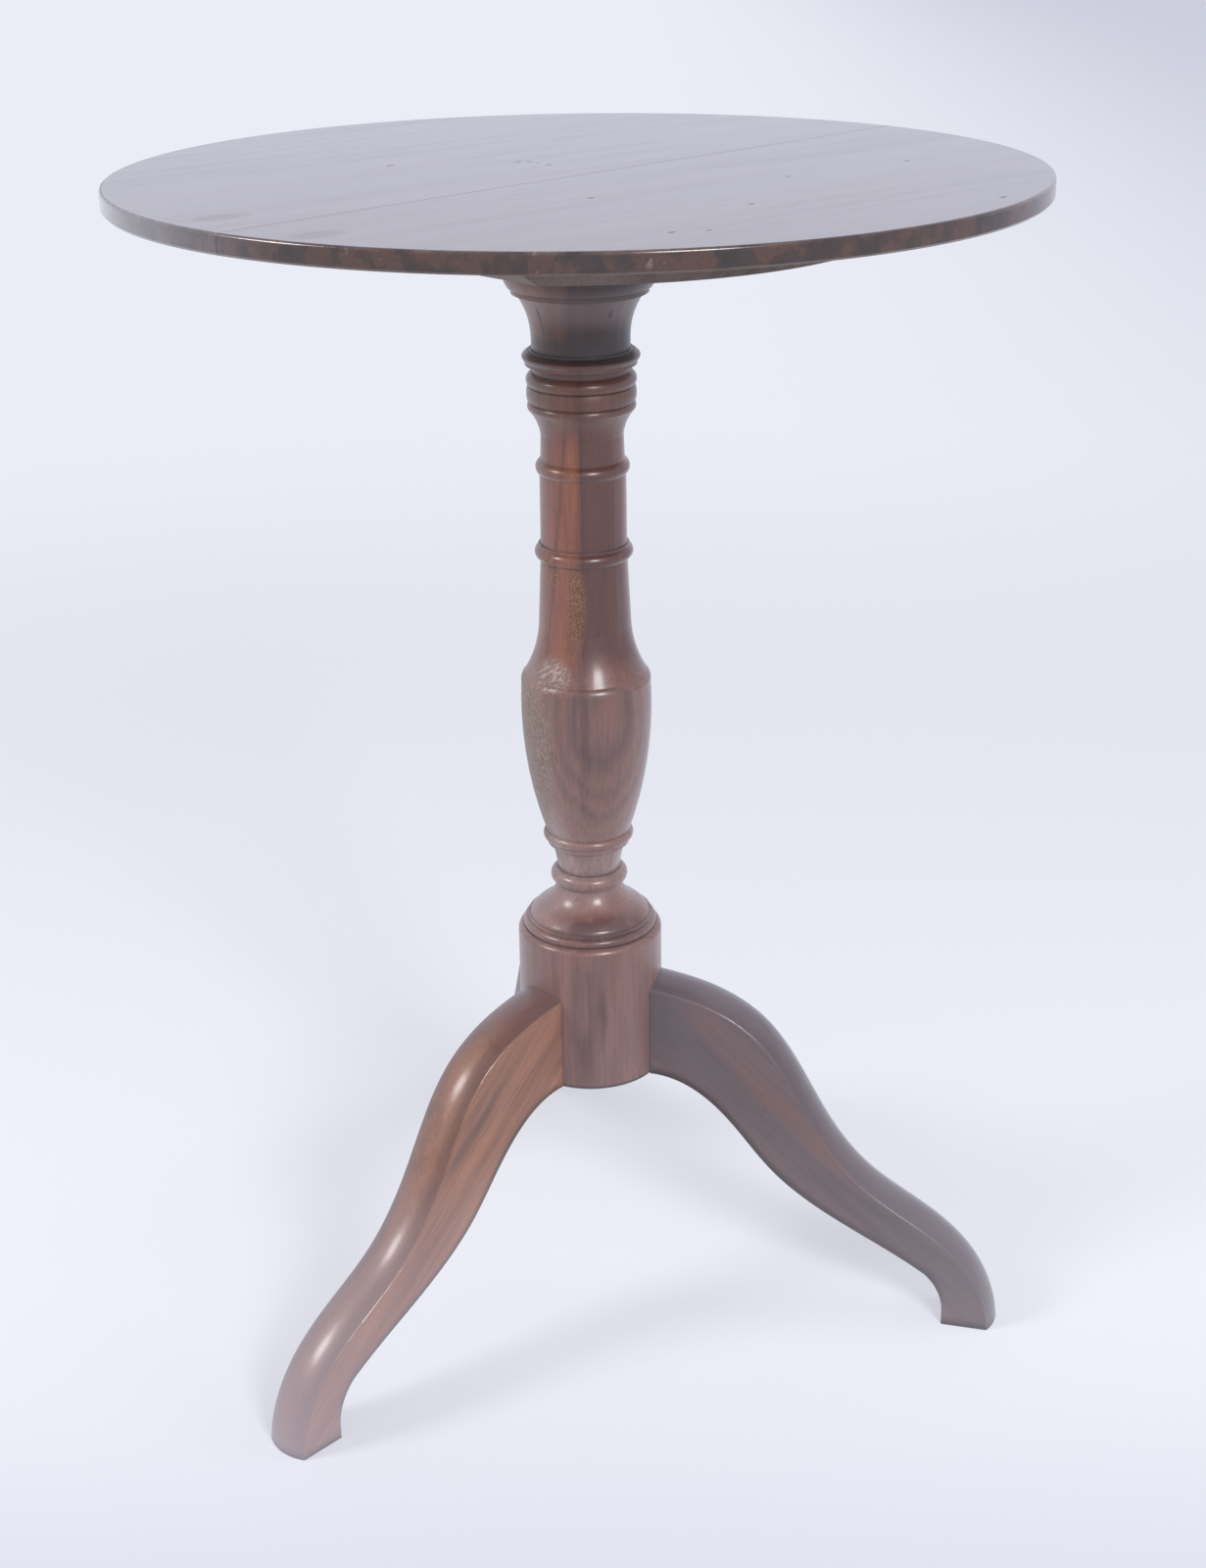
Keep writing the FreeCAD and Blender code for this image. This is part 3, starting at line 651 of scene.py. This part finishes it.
paper = bpy.data.materials.new("matt_paper")
paper.use_nodes = True
sheet = paper.node_tree
sheet.nodes.clear()
sheet_place = node(sheet, "TexCoord", {}, out="Object")
sheet_reach = node(sheet, "VectorMath", {0: sheet_place}, out="Value", operation="LENGTH")
rightward = node(sheet, "VectorMath", {
    0: sheet_place, 1: RIGHT,
}, out="Value", operation="DOT_PRODUCT")
forward = node(sheet, "VectorMath", {
    0: sheet_place, 1: FRONT,
}, out="Value", operation="DOT_PRODUCT")
# Painted shade: the paper greys to the right behind the table, and in front of it close by.
unlit = node(sheet, "MapRange", {"Value": rightward, "From Min": 0.2, "From Max": 2.8}, **SMOOTH)
behind = node(sheet, "MapRange", {"Value": forward, "From Min": 0.5, "From Max": -1.0}, **SMOOTH)
unlit = node(sheet, "Math", {0: unlit, 1: behind}, operation="MULTIPLY")
shade_in_front = node(sheet, "MapRange", {
    "Value": forward, "From Min": 0.0, "From Max": 0.5, "To Max": 0.9,
}, **SMOOTH)
close_by = node(sheet, "MapRange", {
    "Value": sheet_reach, "From Min": 2.6, "From Max": 1.1,
}, **SMOOTH)
shade_in_front = node(sheet, "Math", {0: shade_in_front, 1: close_by}, operation="MULTIPLY")
unlit = node(sheet, "Math", {0: unlit, 1: shade_in_front}, operation="MAXIMUM")
pale = node(sheet, "Mix", {
    SHARE: unlit, UNDER: linear("#ebedf6"), OVER: linear("#cdcfde"),
}, **COLOURS)
lit = node(sheet, "Mix", {
    SHARE: shade_in_front, UNDER: linear("#f1f2f8"), OVER: linear("#cfd1dc"),
}, **COLOURS)
evened = node(sheet, "MapRange", {
    "Value": sheet_reach, "From Min": 0.5, "From Max": 2.4, "To Min": 0.47, "To Max": 1.0,
}, **SMOOTH)
evened = node(sheet, "Math", {0: looked_at(sheet), 1: evened}, operation="MULTIPLY")
lit = node(sheet, "BsdfDiffuse", {"Color": lit})
even = node(sheet, "Emission", {"Color": pale, "Strength": 1.0})
paper_surface = node(sheet, "MixShader", {0: evened, 1: lit, 2: even})
node(sheet, "OutputMaterial", {"Surface": paper_surface})
floor_mesh.materials.append(paper)

# The light: a pale room all round, two soft lamps in front of the table and a weak one behind it.
# One of the two stands to the left, one a little right of the camera. The third lights the right
# edges and is kept out of reflections.
world = bpy.data.worlds.new("pale_room")
bpy.context.scene.world = world
world.use_nodes = True
room = world.node_tree
room.nodes.clear()
glow = node(room, "Background", {"Color": linear("#e6e8f7"), "Strength": 1.0})
fill = node(room, "Background", {"Color": linear("#f0f1f8"), "Strength": 0.6})
room_light = node(room, "MixShader", {0: looked_at(room), 1: fill, 2: glow})
node(room, "OutputWorld", {"Surface": room_light})
AIM = Vector((0.0, 0.0, 0.45))
LAMP_DISTANCE = 2.2
for lamp_name, azimuth, elevation, side, power, in_reflections in (
    ("lamp_left", math.radians(-119.0), math.radians(31.0), 0.6, 21.0, True),
    ("lamp_right", math.radians(-20.0), math.radians(28.0), 0.6, 28.0, True),
    ("lamp_edge", math.radians(48.0), math.radians(30.0), 0.8, 6.0, False),
):
    lamp_data = bpy.data.lights.new(lamp_name, "AREA")
    lamp_data.shape = "SQUARE"
    lamp_data.size = side
    lamp_data.energy = power
    lamp = bpy.data.objects.new(lamp_name, lamp_data)
    level_share = math.cos(elevation)
    towards = Vector((
        level_share * math.cos(azimuth), level_share * math.sin(azimuth), math.sin(elevation),
    ))
    lamp.location = AIM + towards * LAMP_DISTANCE
    lamp.rotation_euler = towards.to_track_quat("Z", "Y").to_euler()
    lamp.visible_glossy = in_reflections
    bpy.context.scene.collection.objects.link(lamp)

# The camera: it stands in front of the table's right side, a little above the top.
# It is tipped down and rolled a touch, and colours are shown as they are written.
CAMERA_PLACE = (0.9240, -0.9234, 0.9145)
heading = Matrix.Rotation(math.radians(44.6), 4, "Z")
tilt = Matrix.Rotation(math.radians(90.0 - 23.09), 4, "X")
roll = Matrix.Rotation(-0.0133, 4, "Z")
camera_data = bpy.data.cameras.new("camera")
camera_data.sensor_width = 36.0
camera_data.lens = 51.9
camera = bpy.data.objects.new("camera", camera_data)
camera.matrix_world = Matrix.Translation(CAMERA_PLACE) @ heading @ tilt @ roll
bpy.context.scene.collection.objects.link(camera)
bpy.context.scene.camera = camera
bpy.context.scene.view_settings.view_transform = "Standard"
